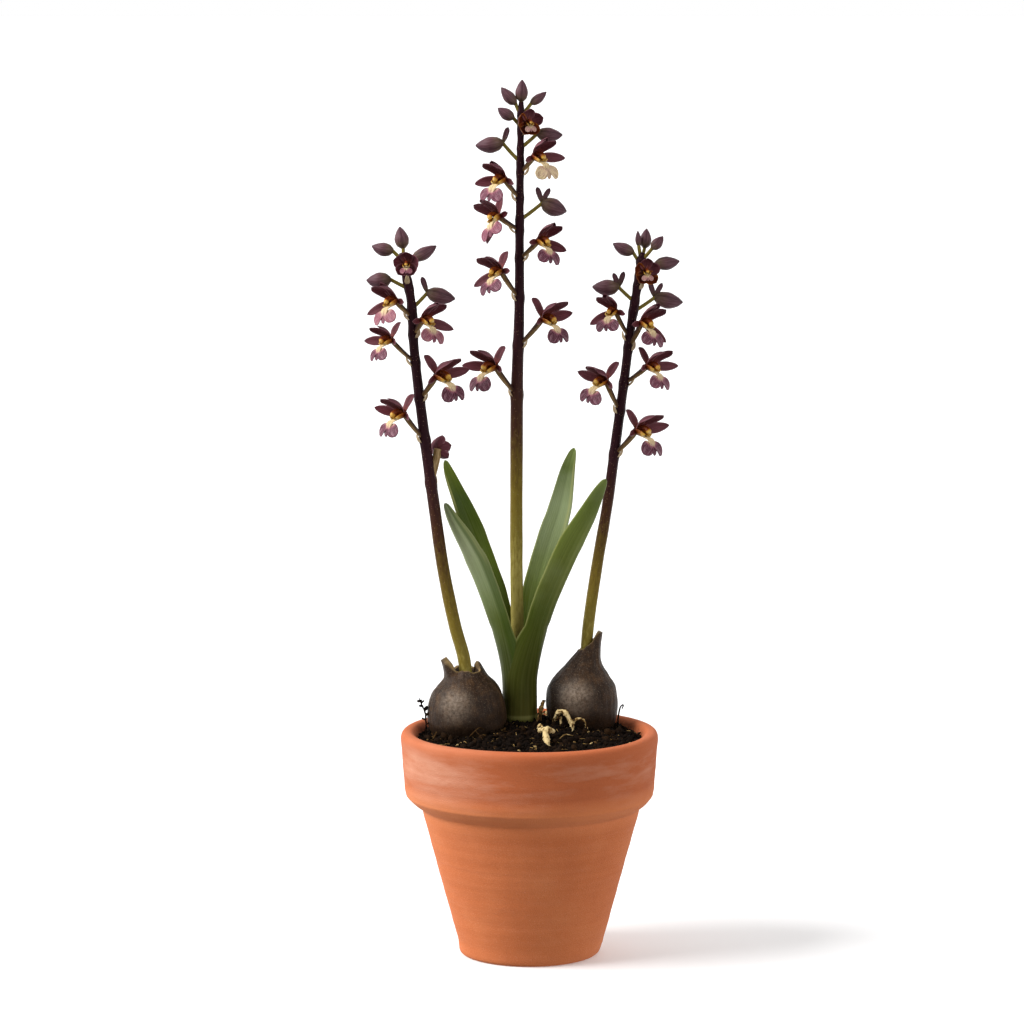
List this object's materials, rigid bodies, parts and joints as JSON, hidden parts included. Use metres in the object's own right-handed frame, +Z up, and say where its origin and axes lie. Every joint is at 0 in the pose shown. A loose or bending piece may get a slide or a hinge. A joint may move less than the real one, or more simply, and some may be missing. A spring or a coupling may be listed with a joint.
{
  "type": "potted marsh orchid",
  "caption": "Orchid with tall stalks of purple-brown flowers, strap leaves and swollen stem bases, standing in a round terracotta pot of compost.",
  "frame": {"origin": "on the surface the pot stands on, under the middle of the pot", "axes": "+Z up along the pot's axis; -Y towards the front, the side the flowers face; +X to the right seen from the front"},
  "size_m": [0.1591, 0.13, 0.439],
  "materials": {
    "terracotta": "matt unglazed clay",
    "compost": "rough and granular",
    "pseudobulb": "dry fibrous skin, half matt",
    "leaf": "waxy, half gloss",
    "stalk": "smooth, half gloss",
    "petal": "soft satin",
    "lip": "soft satin"
  },
  "bodies": {
    "root": {"pot": "terracotta", "soil": "compost", "pseudobulb_left": "pseudobulb", "pseudobulb_right": "pseudobulb", "leaf_front_right": "leaf", "leaf_front_left": "leaf", "leaf_back_right": "leaf", "leaf_back_left": "leaf", "flower_stalk_left": "stalk", "flower_stalk_middle": "stalk", "flower_stalk_right": "stalk", "bloom_left_1": "petal", "lip_left_1": "lip", "bloom_left_2": "petal", "lip_left_2": "lip", "bloom_left_3": "petal", "lip_left_3": "lip", "bloom_left_4": "petal", "lip_left_4": "lip", "bloom_left_5": "petal", "lip_left_5": "lip", "bloom_left_6": "petal", "lip_left_6": "lip", "bloom_left_7": "petal", "lip_left_7": "lip", "bloom_middle_1": "petal", "lip_middle_1": "lip", "bloom_middle_2": "petal", "lip_middle_2": "lip", "bloom_middle_3": "petal", "lip_middle_3": "lip", "bloom_middle_4": "petal", "lip_middle_4": "lip", "bloom_middle_5": "petal", "lip_middle_5": "lip", "bloom_middle_6": "petal", "lip_middle_6": "lip", "bloom_middle_7": "petal", "lip_middle_7": "lip", "bloom_middle_8": "petal", "lip_middle_8": "lip", "bloom_right_1": "petal", "lip_right_1": "lip", "bloom_right_2": "petal", "lip_right_2": "lip", "bloom_right_3": "petal", "lip_right_3": "lip", "bloom_right_4": "petal", "lip_right_4": "lip", "bloom_right_5": "petal", "lip_right_5": "lip", "bloom_right_6": "petal", "lip_right_6": "lip"}
  },
  "joints": []
}
